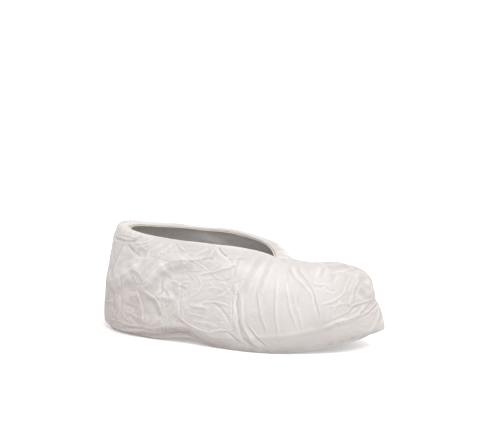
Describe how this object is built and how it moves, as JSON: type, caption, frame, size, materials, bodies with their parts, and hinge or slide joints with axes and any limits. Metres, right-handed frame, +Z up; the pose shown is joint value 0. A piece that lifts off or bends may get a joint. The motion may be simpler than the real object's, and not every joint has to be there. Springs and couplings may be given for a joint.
{
  "type": "overshoe",
  "caption": "Disposable white non-woven overshoe with a gathered elastic collar and a panel sole, standing empty in its worn form.",
  "frame": {"origin": "on the floor, under the middle of the overshoe's box", "axes": "+X towards the toe, -Y towards the lateral side of a right foot, +Z up"},
  "size_m": [0.3132, 0.1153, 0.1195],
  "materials": {
    "white_nonwoven": "matt, crumpled",
    "sole_nonwoven": "matt, embossed",
    "cream_elastic": "ribbed"
  },
  "bodies": {
    "root": {"upper": "white_nonwoven", "sole": "sole_nonwoven", "collar_elastic": "cream_elastic"}
  },
  "joints": []
}
